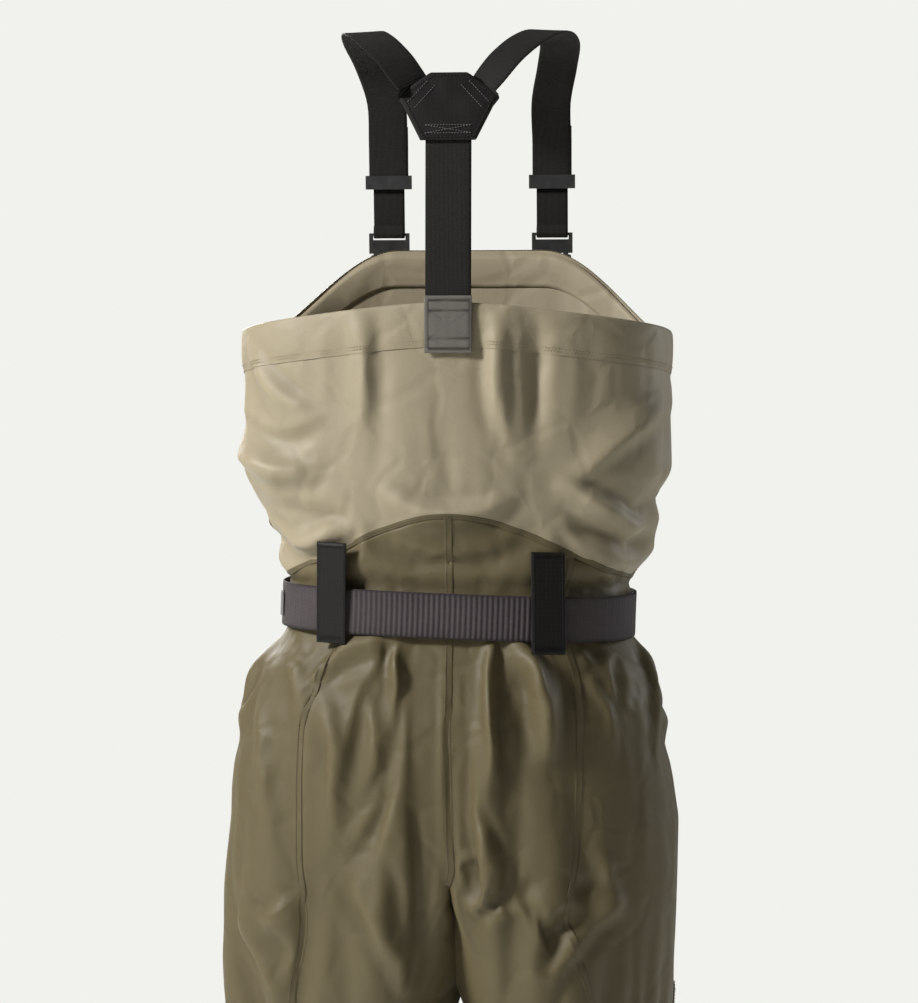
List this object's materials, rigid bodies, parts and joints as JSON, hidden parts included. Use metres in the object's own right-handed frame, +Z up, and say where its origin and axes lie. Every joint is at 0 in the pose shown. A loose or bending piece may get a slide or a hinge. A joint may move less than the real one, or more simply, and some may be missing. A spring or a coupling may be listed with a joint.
{
  "type": "chest waders",
  "caption": "Worn-shape chest waders: panelled bib, arched waist seam, baggy legs, neoprene feet, crossed back yoke with elastic straps, wading belt and release buckles.",
  "frame": {"origin": "on the floor under the soles, midway between the feet and under the middle of the whole object", "axes": "+X to the wearer's left, +Y to the back, +Z up"},
  "size_m": [0.5046, 0.3608, 1.6679],
  "materials": {
    "bib_shell": "satin",
    "leg_shell": "satin",
    "reinforced_shell": "matte",
    "belt_webbing": "ribbed weave",
    "black_webbing": "ribbed weave",
    "yoke_fabric": "ripstop",
    "grey_webbing": "woven",
    "buckle_plastic": "fine texture",
    "neoprene": "knit-faced",
    "spring_steel": "wire",
    "hook_metal": "satin",
    "label_fabric": "woven"
  },
  "bodies": {
    "root": {"back_anchor_patch": "grey_webbing", "back_strap": "black_webbing", "belt": "belt_webbing", "belt_label": "label_fabric", "belt_loop_back_left": "yoke_fabric", "belt_loop_back_right": "yoke_fabric", "belt_loop_front_left": "yoke_fabric", "belt_loop_front_right": "yoke_fabric", "belt_socket": "buckle_plastic", "bib_back": "bib_shell", "bib_front": "bib_shell", "bootie_left": "neoprene", "bootie_right": "neoprene", "chest_pocket": "bib_shell", "cord_lock_barrel": "buckle_plastic", "cord_lock_base": "buckle_plastic", "cord_lock_spring": "spring_steel", "crotch_gusset": "leg_shell", "gravel_guard_left": "reinforced_shell", "gravel_guard_right": "reinforced_shell", "hem_drawcord": "black_webbing", "hem_facing": "bib_shell", "hook_tab_left": "black_webbing", "hook_tab_right": "black_webbing", "knee_patch_left": "reinforced_shell", "knee_patch_right": "reinforced_shell", "leg_back_left": "leg_shell", "leg_back_right": "leg_shell", "leg_front_left": "leg_shell", "leg_front_right": "leg_shell", "shoulder_socket_left": "buckle_plastic", "shoulder_socket_right": "buckle_plastic", "shoulder_strap_left": "black_webbing", "shoulder_strap_right": "black_webbing", "socket_tab_left": "black_webbing", "socket_tab_right": "black_webbing", "strap_adjuster_left": "buckle_plastic", "strap_adjuster_right": "buckle_plastic", "yoke_backing": "yoke_fabric", "yoke_patch": "yoke_fabric", "zip_tape": "black_webbing", "zip_teeth": "buckle_plastic"},
    "left_prong": {"shoulder_prong_left": "buckle_plastic", "front_webbing_left": "black_webbing"},
    "right_prong": {"shoulder_prong_right": "buckle_plastic", "front_webbing_right": "black_webbing"},
    "belt_prong": {"belt_prong": "buckle_plastic"},
    "belt_keeper": {"belt_keeper": "black_webbing"},
    "zip_slider": {"zip_slider": "buckle_plastic"},
    "zip_pull": {"zip_pull": "black_webbing"},
    "cord_button": {"cord_lock_button": "buckle_plastic"},
    "left_hook": {"gravel_hook_left": "hook_metal"},
    "right_hook": {"gravel_hook_right": "hook_metal"}
  },
  "joints": [
    {"name": "left_shoulder_release", "type": "slide", "parent": "root", "child": "left_prong", "axis": [0, 0.0995, 0.995], "range_m": [0, 0.04]},
    {"name": "right_shoulder_release", "type": "slide", "parent": "root", "child": "right_prong", "axis": [0, 0.0995, 0.995], "range_m": [0, 0.04]},
    {"name": "belt_release", "type": "slide", "parent": "root", "child": "belt_prong", "axis": [-0.9995, 0, -0.0332], "range_m": [0, 0.036]},
    {"name": "belt_keeper_slide", "type": "slide", "parent": "root", "child": "belt_keeper", "axis": [0.9995, 0, 0.0332], "range_m": [-0.008, 0.006]},
    {"name": "zip_travel", "type": "slide", "parent": "root", "child": "zip_slider", "axis": [1, 0, 0], "range_m": [0, 0.1]},
    {"name": "zip_pull_swing", "type": "hinge", "parent": "zip_slider", "child": "zip_pull", "pos_m": [-0.05, -0.141, 1.3135], "axis": [-1, 0, 0], "range_deg": [0, 100]},
    {"name": "cord_lock_press", "type": "slide", "parent": "root", "child": "cord_button", "axis": [0, 0, -1], "range_m": [0, 0.003], "stiffness_N_per_m": 400, "deforming": ["cord_lock_spring"]},
    {"name": "left_hook_swing", "type": "hinge", "parent": "root", "child": "left_hook", "pos_m": [0.128, -0.0665, 0.1415], "axis": [-1, 0, 0], "range_deg": [0, 75]},
    {"name": "right_hook_swing", "type": "hinge", "parent": "root", "child": "right_hook", "pos_m": [-0.128, -0.0665, 0.1415], "axis": [-1, 0, 0], "range_deg": [0, 75]}
  ]
}
